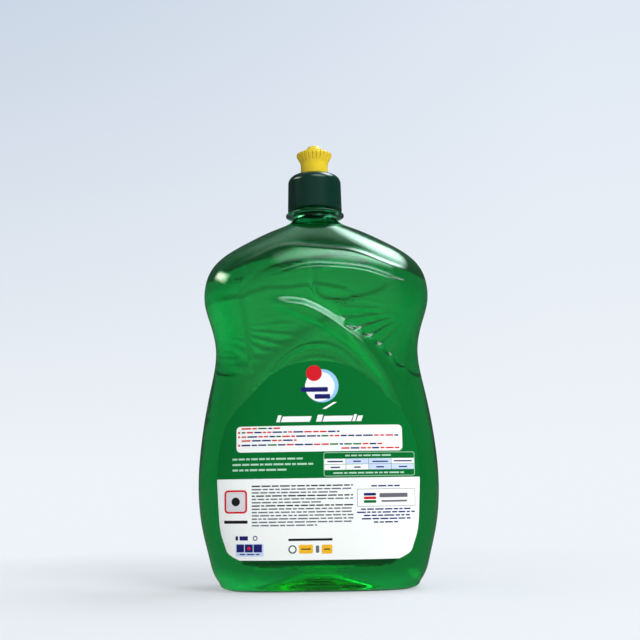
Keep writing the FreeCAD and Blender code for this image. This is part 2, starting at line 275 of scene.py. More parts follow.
# the relief on the front, in mm from the middle line and from the table; the back is the same turned round
relief = {
    "bandPath": [(-29, 157.0), (-20, 155.3), (-6, 151.3), (3, 147), (12.3, 140.6), (19.5, 135.3), (25.3, 130.4),
                 (31, 124), (35.8, 117.4), (40.1, 110.3), (43, 103), (44.6, 95), (44.8, 86)],
    "bandWidth": [(0, 3.0), (0.2, 8.5), (0.4, 7.0), (0.6, 6.5), (0.8, 6.5), (1.0, 4.0)],
    "bandHeight": 0.95,
    "bandSoft": 3.0,
    "bandEnds": (0.14, 0.18),
    "bandAbove": {"drop": 2.6, "width": 5.0, "relax": 9.0},
    "bandBelow": {"drop": 1.5, "width": 2.0, "relax": 5.0},
    "archPath": [(-27.5, 110.3), (-23.7, 117.3), (-19.3, 123.2), (-14.9, 127), (-8.4, 130.8), (0.3, 132.3),
                 (7.4, 131.4), (15.5, 127.2), (20.3, 122.8), (24.9, 117.6), (27.5, 113.5)],
    "archHeight": 0.5,
    "archWidth": 0.9,
    "archEnds": (0.12, 0.12),
    "ridges": [
        {"path": [(-49.2, 175.4), (-41.5, 179.8), (-34.5, 183.1), (-27, 187.0), (-18.3, 190.3), (-9, 190.2),
                  (8.1, 188), (19.3, 186.6), (26.3, 184.6), (36, 180.4), (46.1, 176.7), (54.8, 174)],
         "height": 1.3},
        {"path": [(-28.1, 171.6), (-22.7, 172.3), (-18.1, 173.5), (-11.5, 175.4), (-4.2, 176.9), (7, 176.9),
                  (18.5, 175.8), (26, 174.7), (33.4, 172.7), (40.6, 170.2), (48.6, 168.4), (56.2, 166.8)],
         "height": 1.3},
    ],
    "ridgeRise": 2.8,
    "ridgeFade": 7.0,
    "ridgeEnds": (0.2, 0.12),
    "fanCentre": (54.0, 151.0),
    "fanRidges": [158, 168, 178, 188, 199, 212, 228, 245, 262, 279],
    "fanReach": [(158, 40), (168, 42), (178, 43.5), (188, 42.5), (199, 35.4), (212, 30.8), (228, 29.4), (245, 31.2),
                 (262, 35), (279, 38)],
    "fanDepth": [(158, 0.0), (168, 0.25), (178, 0.35), (188, 0.8), (199, 1.3), (262, 1.3), (279, 0.8)],
    "fanRoot": 30,
    "fanTip": {"back": 1.0, "round": 2.5, "edge": 2.2},
    "fanCup": 2.2,
    "backShare": 0.7,
    "low": 75, "high": 200,
    "sideFade": 1.6,
}


def pathField(x, z, path, samples=90):
    # distance from a smooth path, positive above it or to its right, and the share of its length there
    pairs = np.array(path, dtype=float)
    chord = np.concatenate([[0], np.cumsum(np.hypot(*np.diff(pairs, axis=0).T))])
    even = np.linspace(0, chord[-1], samples)
    px = smoothThrough(list(zip(chord, pairs[:, 0])))(even)
    pz = smoothThrough(list(zip(chord, pairs[:, 1])))(even)
    best = np.full(x.shape, 1e9)
    side = np.zeros(x.shape)
    share = np.zeros(x.shape)
    for i in range(samples - 1):
        ux, uz = px[i + 1] - px[i], pz[i + 1] - pz[i]
        along = np.clip(((x - px[i]) * ux + (z - pz[i]) * uz) / (ux * ux + uz * uz), 0, 1)
        dx, dz = x - px[i] - along * ux, z - pz[i] - along * uz
        distance = np.hypot(dx, dz)
        nearer = distance < best
        best = np.where(nearer, distance, best)
        side = np.where(nearer, np.sign(ux * dz - uz * dx), side)
        share = np.where(nearer, (i + along) / (samples - 1), share)
    return best * side, share


def window(share, fadeIn, fadeOut):
    return smoothStep(share / fadeIn) * smoothStep((1 - share) / fadeOut)


def bandRelief(x, z):
    away, share = pathField(x, z, relief["bandPath"])
    width = np.interp(share, *zip(*relief["bandWidth"]))
    rise = relief["bandHeight"] * np.exp(-((np.maximum(np.abs(away) - width / 2, 0) / relief["bandSoft"]) ** 2))
    for side, edge in ((1, relief["bandAbove"]), (-1, relief["bandBelow"])):
        past = away * side - width / 2 + edge["width"] / 2
        rise = rise - edge["drop"] * smoothStep(past / edge["width"]) * np.exp(-np.maximum(past, 0) / edge["relax"])
    return rise * window(share, *relief["bandEnds"])


def archRelief(x, z):
    away, share = pathField(x, z, relief["archPath"])
    rise = relief["archHeight"] * np.exp(-((away / relief["archWidth"]) ** 2))
    return rise * window(share, *relief["archEnds"])


def ridgeRelief(x, z, ridge):
    away, share = pathField(x, z, ridge["path"])
    rise = smoothStep((relief["ridgeRise"] / 2 - away) / relief["ridgeRise"])
    fade = np.exp(np.minimum(away, 0) / relief["ridgeFade"])
    return ridge["height"] * rise * fade * window(share, *relief["ridgeEnds"])


def fanRelief(x, z):
    cx, cz = relief["fanCentre"]
    turn = np.degrees(np.arctan2(z - cz, x - cx)) % 360
    reach = np.hypot(x - cx, z - cz)
    edges = np.array(relief["fanRidges"], dtype=float)
    petal = np.clip(np.searchsorted(edges, turn) - 1, 0, len(edges) - 2)
    across = (turn - edges[petal]) / (edges[petal + 1] - edges[petal]) * 2 - 1
    inside = (turn > edges[0]) & (turn < edges[-1])
    across = np.clip(across, -1, 1)
    tip = relief["fanTip"]
    end = smoothThrough(relief["fanReach"])(turn) - tip["back"] - tip["round"] * across**2
    depth = np.interp(turn, *zip(*relief["fanDepth"]))
    trough = (1 - np.abs(across) ** relief["fanCup"]) * smoothStep(reach / relief["fanRoot"])
    trough = trough * smoothStep((end - reach) / tip["edge"])
    return np.where(inside, -depth * trough, 0)


def underLabel(x, z):
    # one under the label, falling to nothing just outside its edge
    heights, halves = np.array(label["outline"]).T
    low = np.interp(z, heights, halves)
    inside = np.minimum((low - np.abs(x)) * 0.8, label["outline"][-1][0] - z)
    return smoothStep(inside / 2.0 + 1.0)


def reliefAt(x, z):
    total = (bandRelief(x, z) + archRelief(x, z) + fanRelief(x, z)) * (1 - underLabel(x, z))
    for ridge in relief["ridges"]:
        total = total + ridgeRelief(x, z, ridge)
    return total


def bodyPoint(turn, z, inset):
    x, y, nx, ny = sectionPoint(turn, z, inset)
    front = y < 0
    rise = np.zeros_like(x)
    near = (z > relief["low"]) & (z < relief["high"])
    rise[near] = reliefAt(np.where(front, x, -x)[near], z[near])
    rise = rise * smoothStep(np.abs(ny) * relief["sideFade"]) * np.where(front, 1.0, relief["backShare"])
    return x + nx * rise, y + ny * rise


def frontPoint(x, z, lift):
    # a point over the plain front of the body
    a, b, power = frontHalf(z) + lift, sideHalf(z) + lift, squareAt(z)
    share = np.clip(np.abs(x) / a, 0, 1)
    return x, -b * (1 - share**power) ** (1 / power), z


def roundedLine(points, segments=4):
    # a line of (radius, height) corners; a third number rounds that corner
    line = []
    for i, point in enumerate(points):
        here = Vector(point[:2])
        if len(point) < 3:
            line.append(tuple(here))
            continue
        back = Vector(points[i - 1][:2]) - here
        ahead = Vector(points[i + 1][:2]) - here
        half = back.angle(ahead) / 2
        cut = min(point[2] / math.tan(half), back.length * 0.49, ahead.length * 0.49)
        start = here + back.normalized() * cut
        end = here + ahead.normalized() * cut
        for k in range(segments + 1):
            share = k / segments
            line.append(tuple((1 - share) ** 2 * start + 2 * share * (1 - share) * here + share**2 * end))
    return line


def objectFrom(bm, name, material, smooth=True):
    mesh = bpy.data.meshes.new(name)
    for face in bm.faces:
        face.smooth = smooth
    bm.to_mesh(mesh)
    bm.free()
    mesh.materials.append(material)
    piece = bpy.data.objects.new(name, mesh)
    bpy.context.scene.collection.objects.link(piece)
    return piece


def wrappedGrid(columns, rows, placeAt):
    # a grid whose sides meet, put in place row by row, with its seam and poles merged
    bm = bmesh.new()
    bmesh.ops.create_grid(bm, x_segments=columns, y_segments=rows, size=1)
    spots = np.array([vert.co[:2] for vert in bm.verts])
    column = np.rint((spots[:, 0] + 1) / 2 * columns).astype(int)
    row = np.rint((spots[:, 1] + 1) / 2 * rows).astype(int)
    points = placeAt(column, row) * mm
    for vert, point in zip(bm.verts, points):
        vert.co = point
    bmesh.ops.remove_doubles(bm, verts=bm.verts, dist=1e-7)
    bmesh.ops.recalc_face_normals(bm, faces=bm.faces)
    return bm


# how far apart the rings of the body lie: up to a height, in steps of; None is the relief's own step
ringSteps = [(8, 0.6), (82, 2.6), (196, None), (300, 1.6)]

# the neck finish: radius and height over the shoulder
neck = {
    "radius": 12.6,
    "bore": 10.85,
    "height": 24.7,
    "lipRound": 0.4,
    "threadRings": {"low": 14.5, "end": 1.2, "count": 26},
    "throat": 2.3,
    "boreLength": 16,
    "thread": {"depth": 1.15, "pitch": 4.0, "turns": 1.5, "root": 1.9, "crest": 0.9, "lead": 2.6},
    "outside": [
        (13.0, 1.2), (13.0, 2.3, 0.5), (17.1, 2.6, 0.35), (17.1, 3.6, 0.45), (13.2, 4.8, 0.6), (12.6, 5.3),
        (12.6, 5.6), (13.75, 5.8, 0.3), (13.75, 6.8, 0.3), (12.6, 7.1), (12.6, 9.0),
    ],
}


def neckOutside():
    top = body["shoulder"]
    lower = [(radius, top + height) for radius, height in roundedLine(neck["outside"])]
    lip = top + neck["height"]
    spread, corner = neck["threadRings"], neck["lipRound"]
    heights = np.linspace(top + spread["low"], lip - spread["end"], spread["count"])
    rings = [(neck["radius"], height) for height in heights]
    edge = roundedLine([(neck["radius"], lip - 2 * corner), (neck["radius"], lip, corner),
                        (neck["bore"], lip, corner), (neck["bore"], lip - 5 * corner)])
    return lower + rings + edge


def threadRise(turn, z):
    thread = neck["thread"]
    start = body["shoulder"] + neck["height"] - thread["lead"] - thread["pitch"] * thread["turns"]
    lap = turn / (2 * np.pi)
    rise = np.zeros_like(z)
    for wrap in range(int(math.ceil(thread["turns"])) + 1):
        length = lap + wrap
        away = np.abs(z - start - thread["pitch"] * length)
        flank = (thread["root"] / 2 - away) / ((thread["root"] - thread["crest"]) / 2)
        ends = smoothStep(length / 0.06) * smoothStep((thread["turns"] - length) / 0.06)
        rise = np.maximum(rise, np.clip(flank, 0, 1) * ends)
    return rise * thread["depth"]


def ringHeights(low, high, fine):
    # heights along the body, closer together over the relief
    marks = [low]
    while marks[-1] < high:
        here = marks[-1]
        step = next(step for top, step in ringSteps if here < top)
        marks.append(here + (step or fine))
    marks[-1] = high
    return marks


def bottleRings():
    # one closed line of rings: base, outside, neck, lip, bore, inside and the base again
    rings = [("base", share, 0.0) for share in np.linspace(0, body["baseEdge"], 16)]
    rings += [("wall", height, 0.0) for height in ringHeights(0, body["shoulder"], body["outsideStep"])]
    rings += [("neck", radius, height) for radius, height in neckOutside()]
    throat = body["shoulder"] + neck["throat"]
    rings += [("neck", neck["bore"], height) for height in np.linspace(throat + neck["boreLength"], throat, 5)]
    inside = ringHeights(body["baseWall"], body["shoulder"] - body["innerDrop"], body["insideStep"])
    rings += [("wall", height, body["wall"]) for height in reversed(inside)]
    rings += [("base", share, body["baseWall"]) for share in np.linspace(body["baseEdge"], 0, 14)]
    return rings


def puntRise(share):
    return body["puntHeight"] * np.clip(1 - (share / body["puntShare"]) ** 2, 0, 1) ** 1.25


def placeRings(rings, turns):
    kinds = np.array([ring[0] for ring in rings])
    firsts = np.array([ring[1] for ring in rings], dtype=float)
    seconds = np.array([ring[2] for ring in rings], dtype=float)

    def placeAt(column, row):
        turn, kind, first, second = turns[column], kinds[row], firsts[row], seconds[row]
        points = np.zeros((len(column), 3))
        wall = kind == "wall"
        points[wall, 0], points[wall, 1] = bodyPoint(turn[wall], first[wall], second[wall])
        points[wall, 2] = first[wall]
        base = kind == "base"
        x, y, nx, ny = sectionPoint(turn[base], second[base], np.where(second[base] > 0, body["wall"], 0))
        points[base, 0], points[base, 1] = x * first[base], y * first[base]
        points[base, 2] = puntRise(first[base]) + second[base]
        ring = kind == "neck"
        radius = first[ring] + np.where(first[ring] > neck["bore"] + 0.5, threadRise(turn[ring], second[ring]), 0)
        points[ring, 0], points[ring, 1] = radius * np.cos(turn[ring]), radius * np.sin(turn[ring])
        points[ring, 2] = second[ring]
        return points

    return placeAt


def makeBottle(material):
    rings = bottleRings()
    turns = evenTurns(body["columns"], body["frontWeight"])
    bm = wrappedGrid(body["columns"], len(rings) - 1, placeRings(rings, turns))
    piece = objectFrom(bm, "bottleShell", material)
    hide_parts("bottle")
    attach(piece, "bottle")
    return piece


wallMaterial = makeWallMaterial()
makeBottle(wallMaterial)
print("bottle made")

# the soap, which reaches half way into the wall so that light meets no gap there; in the pockets air lies
# between it and the wall
soap = {
    "overlap": 0.35,
    "underlap": 0.3,
    "level": 205.0,
    "columns": 260,
    "frontWeight": 2.5,
    "wallStep": 1.1,
    "lidRings": 8,
    "meniscus": 0.8,
    "pocketsAbove": 12,
    "pocketDepth": 2.0,
    "pocketEdge": 1.6,
    "pockets": [
        [(-41.7, 17.6), (-39, 102.5), (-37.9, 113.3), (-36.9, 124.3), (-39.1, 141), (-42, 157.9), (-42, 163),
         (-41.7, 166.1), (-38.5, 170.3), (-32.1, 177), (-25.1, 180.8), (-20.4, 181.7), (-18.2, 184.1), (-13.7, 186.1),
         (-9, 187.1), (-3, 184), (-3.5, 178), (-2.5, 172), (-2, 165), (-1, 161), (3, 157), (8, 154.5), (12, 150),
         (15, 146), (20, 134), (28, 124), (35, 115), (39.5, 104), (42, 92), (42.5, 85.4), (41.1, 16.8), (30, 14),
         (-30, 14)],
        [(0.6, 160.8), (-0.5, 165.3), (-1, 168.8), (0.2, 171.7), (3.5, 173.4), (6.8, 176.4), (13.5, 177.6),
         (20.2, 176.4), (30.1, 174), (38.9, 169.5), (40, 166.6), (37.6, 163.1), (30.9, 160.1), (22, 158.4),
         (15.9, 156.7), (9.4, 157.3), (3.3, 157.9)],
    ],
}


def insideOutline(x, z, outline):
    # distance to a closed outline, positive inside it
    corners = np.array(outline + outline[:1], dtype=float)
    nearest = np.full(x.shape, 1e9)
    inside = np.zeros(x.shape, dtype=bool)
    for (ax, az), (bx, bz) in zip(corners, corners[1:]):
        ux, uz = bx - ax, bz - az
        along = np.clip(((x - ax) * ux + (z - az) * uz) / (ux * ux + uz * uz), 0, 1)
        nearest = np.minimum(nearest, np.hypot(x - ax - along * ux, z - az - along * uz))
        crosses = (az > z) != (bz > z)
        cut = ax + ux * (z - az) / (uz if uz else 1)
        inside ^= crosses & (x < cut)
    return np.where(inside, nearest, -nearest)


def pocketDepth(turn, z):
    x, y, nx, ny = sectionPoint(turn, z, soap["overlap"])
    depth = np.zeros_like(x)
    for outline in soap["pockets"]:
        depth = np.maximum(depth, smoothStep(insideOutline(x, z, outline) / soap["pocketEdge"]))
    return np.where(y < 0, depth, 0) * soap["pocketDepth"]


def soapRings():
    low = body["baseWall"] - soap["underlap"]
    rings = [("base", share, low) for share in np.linspace(0, body["baseEdge"], 14)]
    rings += [("wall", height, soap["overlap"]) for height in ringHeights(low, soap["level"], soap["wallStep"])]
    return rings


def makeSoap(material):
    rings = soapRings()
    turns = evenTurns(soap["columns"], soap["frontWeight"])
    lidRings = soap["lidRings"]
    wallPlace = placeRings(rings, turns)
    heights = np.array([ring[1] if ring[0] == "wall" else 0.0 for ring in rings])

    def placeAt(column, row):
        last = len(rings) - 1
        points = wallPlace(column, np.minimum(row, last))
        walled = (row <= last) & (heights[np.minimum(row, last)] > soap["pocketsAbove"])
        z = heights[row[walled]]
        x, y, nx, ny = sectionPoint(turns[column[walled]], z, soap["overlap"])
        depth = pocketDepth(turns[column[walled]], z)
        points[walled, 0] -= nx * depth
        points[walled, 1] -= ny * depth
        lid = row > last
        inward = 1 - (row[lid] - last) / lidRings
        points[lid, :2] *= inward[:, None]
        points[lid, 2] -= soap["meniscus"] * (1 - inward**6)
        return points

    bm = wrappedGrid(soap["columns"], len(rings) - 1 + lidRings, placeAt)
    piece = objectFrom(bm, "soapBody", material)
    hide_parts("dish_liquid")
    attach(piece, "bottle")
    return piece


makeSoap(makeSoapMaterial())
print("soap made")

# air bubbles in the soap just behind the wall: x, height, radius
bubbles = {
    "beads": [(-24.6, 182.2, 0.55), (-22.6, 182.7, 0.4), (-20.8, 183.3, 0.6), (-18.9, 184.6, 0.45),
              (-16.9, 186.0, 0.5), (-14.6, 187.3, 0.65), (-12.1, 188.0, 0.45), (-9.8, 188.6, 0.5),
              (11.6, 156.0, 0.75), (13.9, 155.4, 0.6),
              (16.2, 155.5, 0.8), (18.6, 156.2, 0.6), (20.7, 156.8, 0.75), (22.9, 157.3, 0.5), (24.6, 157.6, 0.4),
              (-0.6, 190.6, 0.6), (-4.2, 191.6, 0.3)],
    "scattered": 70,
    "left": -52, "right": 56, "low": 84, "high": 192,
    "radii": (0.12, 0.34),
    "depth": 1.6,
    "pocketGap": 1.5,
    "widthShare": 0.84,
    "seed": 7,
}


def makeBubbles():
    material = newMaterial("airBubble", {
        "Base Color": (1, 1, 1, 1), "Roughness": 0.0, "IOR": 0.74, "Transmission Weight": 1.0,
    })
    random = np.random.default_rng(bubbles["seed"])
    spots = list(bubbles["beads"])
    while len(spots) < len(bubbles["beads"]) + bubbles["scattered"]:
        x = random.uniform(bubbles["left"], bubbles["right"])
        z = random.uniform(bubbles["low"], bubbles["high"])
        radius = random.uniform(*bubbles["radii"])
        spot = np.array([x]), np.array([z])
        nearest = max(float(insideOutline(*spot, outline)[0]) for outline in soap["pockets"])
        if nearest < -bubbles["pocketGap"] and abs(x) < bubbles["widthShare"] * float(frontHalf(z)):
            spots.append((x, z, radius))
    bm = bmesh.new()
    for x, z, radius in spots:
        place = Vector([float(v) for v in frontPoint(x, z, -bubbles["depth"] - radius)])
        bmesh.ops.create_icosphere(bm, subdivisions=3, radius=radius * mm, matrix=Matrix.Translation(place * mm))
    piece = objectFrom(bm, "soapBubbles", material)
    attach(piece, "bottle")


makeBubbles()
print("bubbles made")


def outlineRows(outline, count):
    # rows (height, left, right) up a shape whose half widths are given with their heights
    pairs = np.array(outline, dtype=float)
    chord = np.concatenate([[0], np.cumsum(np.hypot(*np.diff(pairs, axis=0).T))])
    even = np.linspace(0, chord[-1], count + 1)
    heights = smoothThrough(list(zip(chord, pairs[:, 0])))(even)
    halves = smoothThrough(list(zip(chord, pairs[:, 1])))(even)
    return [(z, -half, half) for z, half in zip(heights, np.maximum(halves, 0))]


def boxRows(left, low, right, high, corner=0.0):
    # rows up a box with round corners
    if corner == 0:
        return [(low, left, right), (high, left, right)]
    rows = []
    for step in range(5):
        turn = math.pi / 2 * step / 4
        inset, rise = corner * (1 - math.sin(turn)), corner * (1 - math.cos(turn))
        rows.append((low + rise, left + inset, right - inset))
    return rows + [(low + high - z, a, b) for z, a, b in reversed(rows)]


def discRows(x, z, radius, count=12):
    rows = []
    for step in range(count + 1):
        turn = math.pi * step / count
        half = radius * math.sin(turn)
        rows.append((z - radius * math.cos(turn), x - half, x + half))
    return rows


def slantRows(left, low, right, high, slant):
    return [(low, left, right), (high, left + slant, right + slant)]


def denserRows(rows, step):
    # the same shape with no two rows further apart than a step
    dense = [rows[0]]
    for low, high in zip(rows, rows[1:]):
        parts = max(1, int(math.ceil((high[0] - low[0]) / step)))
        for part in range(1, parts + 1):
            dense.append(tuple(a + (b - a) * part / parts for a, b in zip(low, high)))
    return dense


# a line of print is bars of uneven length; a field's grid is fine enough to follow the curved front
wordSize = {"shortest": 1.6, "longest": 5.4, "gap": 0.7, "least": 0.8}
fieldGrid = {"row": 2.5, "column": 1.4}


def makePatches(name, patches, order, material, thickness=None):
    # thin closed fields laid over the front, each given by its rows
    bm = bmesh.new()
    under = bm.verts.layers.float.new("under")
    top = label["film"] + label["layer"] * order
    depth = thickness or label["layer"] * 0.9 + 0.02
    for coarse in patches:
        rows = denserRows(coarse, fieldGrid["row"])
        widest = max(right - left for z, left, right in rows)
        columns = max(1, int(math.ceil(widest / fieldGrid["column"])))
        grid = bmesh.ops.create_grid(bm, x_segments=columns, y_segments=len(rows) - 1, size=1)
        for vert in grid["verts"]:
            row = int(round((vert.co.y + 1) / 2 * (len(rows) - 1)))
            z, left, right = rows[row]
            vert.co = (left + (right - left) * (vert.co.x + 1) / 2, 0, z)
        faces = list({face for vert in grid["verts"] for face in vert.link_faces})
        grown = bmesh.ops.extrude_face_region(bm, geom=faces, use_keep_orig=True)
        for item in grown["geom"]:
            if isinstance(item, bmesh.types.BMVert):
                item[under] = 1.0
    for vert in bm.verts:
        lift = top - depth * vert[under]
        vert.co = Vector([float(v) for v in frontPoint(vert.co.x, vert.co.z, lift)]) * mm
    bmesh.ops.remove_doubles(bm, verts=bm.verts, dist=2e-7)
    bmesh.ops.recalc_face_normals(bm, faces=bm.faces)
    piece = objectFrom(bm, name, material, False)
    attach(piece, "bottle")
    return piece


def wordBars(left, z, right, height, seed):
    # one line of print as bars of uneven length
    random = np.random.default_rng(seed)
    bars = []
    x = left
    while x < right - wordSize["least"]:
        length = min(random.uniform(wordSize["shortest"], wordSize["longest"]), right - x)
        bars.append(boxRows(x, z - height / 2, x + length, z + height / 2))
        x += length + wordSize["gap"]
    return bars


def paint(red, green, blue):
    # a colour given as it looks on a screen
    return tuple(c / 12.92 if c <= 0.04045 else ((c + 0.055) / 1.055) ** 2.4 for c in (red, green, blue)) + (1.0,)


# everything printed on the label, in mm: boxes are left, low, right, high, corner; lines are left, height, right
printed = {
    "colours": {
        "white": (0.975, 0.98, 0.965), "navy": (0.13, 0.13, 0.42), "red": (0.84, 0.12, 0.16),
        "green": (0.0, 0.43, 0.175), "pale": (0.80, 0.86, 0.97), "sky": (0.60, 0.80, 0.95),
        "grey": (0.42, 0.42, 0.45), "dark": (0.13, 0.12, 0.14), "mint": (0.70, 0.85, 0.75),
        "yellow": (0.96, 0.73, 0.16), "mist": (0.87, 0.86, 0.87),
    },
    "emblem": {"halo": (2.6, 109.5, 9.0), "disc": (1.5, 109.2, 8.0), "spot": (-1.6, 116.4, 4.3),
               "bars": [(-8.8, 106.3, 5.8, 108.8), (-1.4, 102.5, 7.0, 105.0)]},
    "flourish": (2.6, 97.0, 4.6, 100.6, 6.0),
    "title": [(-22.3, 90.2, -20.4, 93.9), (-19.8, 90.2, -4.2, 93.2), (-0.9, 90.2, 2.0, 93.9), (2.6, 90.2, 18.0, 93.2),
              (18.6, 90.2, 20.2, 93.9), (20.8, 90.2, 23.4, 93.2)],
    "titleSlant": 1.1,
    "panel": (-43.9, 74.3, 45.5, 88.2, 2.2),
    "panelLines": [(-41.1, 87.0, -19.5), (-41.1, 84.9, 11.7), (-41.1, 82.6, 43.4), (-41.1, 80.5, -11.4),
                   (-41.1, 78.1, 35.2), (12.6, 75.9, 43.8)],
    "bullets": [84.9, 82.6, 78.1],
    "greenLines": [(-46.1, 70.7, -7.8), (-46.1, 67.8, -2.7), (-46.1, 64.9, -16.3)],
    "table": (2.9, 61.0, 52.0, 73.7, 1.2),
    "cells": [(3.25, 67.4, 14.7, 70.3, "white"), (14.9, 67.4, 26.9, 70.3, "pale"),
              (27.1, 67.4, 39.1, 70.3, "pale"), (39.3, 67.4, 51.65, 70.3, "white"),
              (3.25, 64.4, 14.7, 67.2, "white"), (14.9, 64.4, 26.9, 67.2, "white"),
              (27.1, 64.4, 39.1, 67.2, "pale"), (39.3, 64.4, 51.65, 67.2, "pale")],
    "cellLines": [(5.0, 68.8, 13.2), (18.8, 68.8, 22.8), (29.0, 68.6, 37.4), (40.6, 68.8, 50.4), (6.6, 65.7, 11.6),
                  (19.2, 65.7, 22.6), (31.0, 65.7, 35.2), (43.2, 65.7, 47.8)],
    "tableLines": [(14.5, 71.9, 39.6), (8.0, 62.7, 46.0)],
    "frame": (-50.6, 42.1, -38.2, 54.4, 2.0),
    "caption": (-50.8, 36.8, -38.0, 38.4),
    "block": {"left": -35.7, "right": 18.3, "top": 56.3, "pitch": 1.72, "lines": 13,
              "short": {2: 10.0, 5: 2.5, 12: -1.0}},
    "sideLines": [(28.1, 55.7, 43.5), (22.4, 43.5, 49.6), (20.2, 41.9, 51.4), (23.8, 40.2, 48.6), (22.7, 38.5, 49.0),
                  (29.1, 36.7, 42.0)],
    "sideBox": (20.5, 44.9, 51.8, 54.2, 0.3),
    "sideMarks": [(24.0, 50.6, 30.6, 52.0, "navy"), (24.0, 48.7, 30.6, 50.1, "red"),
                  (24.0, 46.8, 30.6, 48.2, "green")],
    "sideName": [(32.4, 49.6, 47.6, 51.8), (33.4, 47.2, 47.2, 48.1)],
    "volume": [(-44.6, 28.0, -43.2, 30.2), (-42.4, 28.0, -37.9, 30.2)],
    "volumeDot": (-34.0, 29.1, 1.3),
    "tiles": (-44.6, 19.6, -29.6, 26.3, 0.8),
    "tileBoxes": [(-44.1, 21.8, -40.0, 25.9), (-39.6, 21.8, -35.3, 25.9), (-34.9, 21.8, -30.4, 25.9)],
    "code": (-16.3, 27.5, 7.0, 28.7),
    "badge": (-14.2, 23.1, 2.2),
    "yellowBoxes": [(-10.8, 20.9, -3.4, 25.5, 0.8), (1.2, 20.7, 6.8, 25.4, 0.8)],
    "thinMark": (-1.9, 21.2, -0.1, 25.0),
}


def printLabel():
    fields = {}

    def put(colour, order, rows):
        fields.setdefault((colour, order), []).append(rows)

    def putLine(colour, order, line, height, seed):
        left, z, right = line
        for rows in wordBars(left, z, right, height, seed):
            put(colour, order, rows)

    # the white foot of the label follows its outline
    half = smoothThrough([(z, half) for z, half in label["outline"][:8]])
    foot, bend = label["outline"][0][0], label["footBend"]
    heights = np.concatenate([np.linspace(foot, bend, 14), np.linspace(bend + 3, label["whiteTop"], 10)])
    put("white", 1, [(z, -float(half(z)), float(half(z))) for z in heights])

    emblem = printed["emblem"]
    put("sky", 1, discRows(*emblem["halo"], 20))
    put("white", 2, discRows(*emblem["disc"], 20))
    put("red", 3, discRows(*emblem["spot"], 16))
    for bar in emblem["bars"]:
        put("navy", 4, boxRows(*bar, 0.5))
    put("white", 1, slantRows(*printed["flourish"]))
    for bar in printed["title"]:
        put("white", 1, slantRows(*bar, printed["titleSlant"]))

    put("white", 1, boxRows(*printed["panel"]))
    for index, line in enumerate(printed["panelLines"]):
        inks = np.random.default_rng(40 + index).choice(["navy", "red", "green"], 24, p=[0.56, 0.32, 0.12])
        for rows, ink in zip(wordBars(*line, 0.8, 10 + index), inks):
            put(str(ink), 2, rows)
    for z in printed["bullets"]:
        put("red", 2, discRows(-42.5, z, 0.6, 8))
    for index, line in enumerate(printed["greenLines"]):
        putLine("mint", 1, line, 1.0, 20 + index)

    left, low, right, high, corner = printed["table"]
    put("mint", 1, boxRows(left, low, right, high, corner))
    put("green", 2, boxRows(left + 0.3, low + 0.3, right - 0.3, high - 0.3, corner - 0.3))
    for cell in printed["cells"]:
        put(cell[4], 3, boxRows(*cell[:4]))
    for line in printed["cellLines"]:
        put("navy", 4, boxRows(line[0], line[1] - 0.35, line[2], line[1] + 0.35))
    for index, line in enumerate(printed["tableLines"]):
        putLine("mint", 3, line, 0.8, 30 + index)

    left, low, right, high, corner = printed["frame"]
    put("red", 2, boxRows(left, low, right, high, corner))
    put("mist", 3, boxRows(left + 1.0, low + 1.0, right - 1.0, high - 1.0, corner - 0.9))
    put("dark", 4, discRows((left + right) / 2, (low + high) / 2, 2.3))
    put("dark", 2, boxRows(*printed["caption"], 0.3))

    block = printed["block"]
    for index in range(block["lines"]):
        z = block["top"] - block["pitch"] * index
        right = block["short"].get(index, block["right"])
        putLine("dark" if index in (0, 3, 6) else "grey", 2, (block["left"], z, right), 0.72, 50 + index)
    for index, line in enumerate(printed["sideLines"]):
        putLine("navy", 2, line, 0.75, 70 + index)
    left, low, right, high, corner = printed["sideBox"]
    put("grey", 2, boxRows(left, low, right, high))
    put("white", 3, boxRows(left + 0.22, low + 0.22, right - 0.22, high - 0.22))
    for mark in printed["sideMarks"]:
        put(mark[4], 4, boxRows(*mark[:4], 0.5))
    for bar in printed["sideName"]:
        put("grey", 4, boxRows(*bar, 0.3))

    for bar in printed["volume"]:
        put("navy", 2, boxRows(*bar, 0.3))
    x, z, radius = printed["volumeDot"]
    put("navy", 2, discRows(x, z, radius))
    put("white", 3, discRows(x, z, radius * 0.62))
    left, low, right, high, corner = printed["tiles"]
    put("pale", 2, boxRows(left, low, right, high, corner))
    for box in printed["tileBoxes"]:
        put("navy", 3, boxRows(*box, 0.3))
    put("red", 4, discRows(-37.4, 23.8, 0.9, 8))
    putLine("navy", 3, (-42.4, 20.7, -31.8), 0.6, 90)
    put("dark", 2, boxRows(*printed["code"]))
    x, z, radius = printed["badge"]
    put("dark", 2, discRows(x, z, radius))
    put("white", 3, discRows(x, z, radius * 0.7))
    for box in printed["yellowBoxes"]:
        put("yellow", 2, boxRows(*box))
        put("dark", 3, boxRows(box[0] + 1.2, (box[1] + box[3]) / 2 - 0.3, box[2] - 1.2, (box[1] + box[3]) / 2 + 0.3))
    put("grey", 2, boxRows(*printed["thinMark"], 0.6))

    inks = {}
    for name, colour in printed["colours"].items():
        inks[name] = makeLabelMaterial("ink" + name.capitalize(), paint(*colour))
    for (colour, order), patches in sorted(fields.items()):
        makePatches("print" + colour.capitalize() + str(order), patches, order, inks[colour])


def makeLabel():
    film = makeLabelMaterial("labelFilm", paint(*printed["colours"]["green"]))
    thickness = label["film"] - label["under"]
    piece = makePatches("labelFilmPiece", [outlineRows(label["outline"], 60)], 0, film, thickness)
    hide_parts("label")
    printLabel()


makeLabel()
print("label made")


def dressCadNode(name, material):
    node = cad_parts[name]
    node.data.materials.clear()
    node.data.materials.append(material)


dressCadNode("cap", makeCapMaterial())
dressCadNode("spout", makeSpoutMaterial())
dressCadNode("cap_liner", makeLinerMaterial())
print("cap and spout dressed")

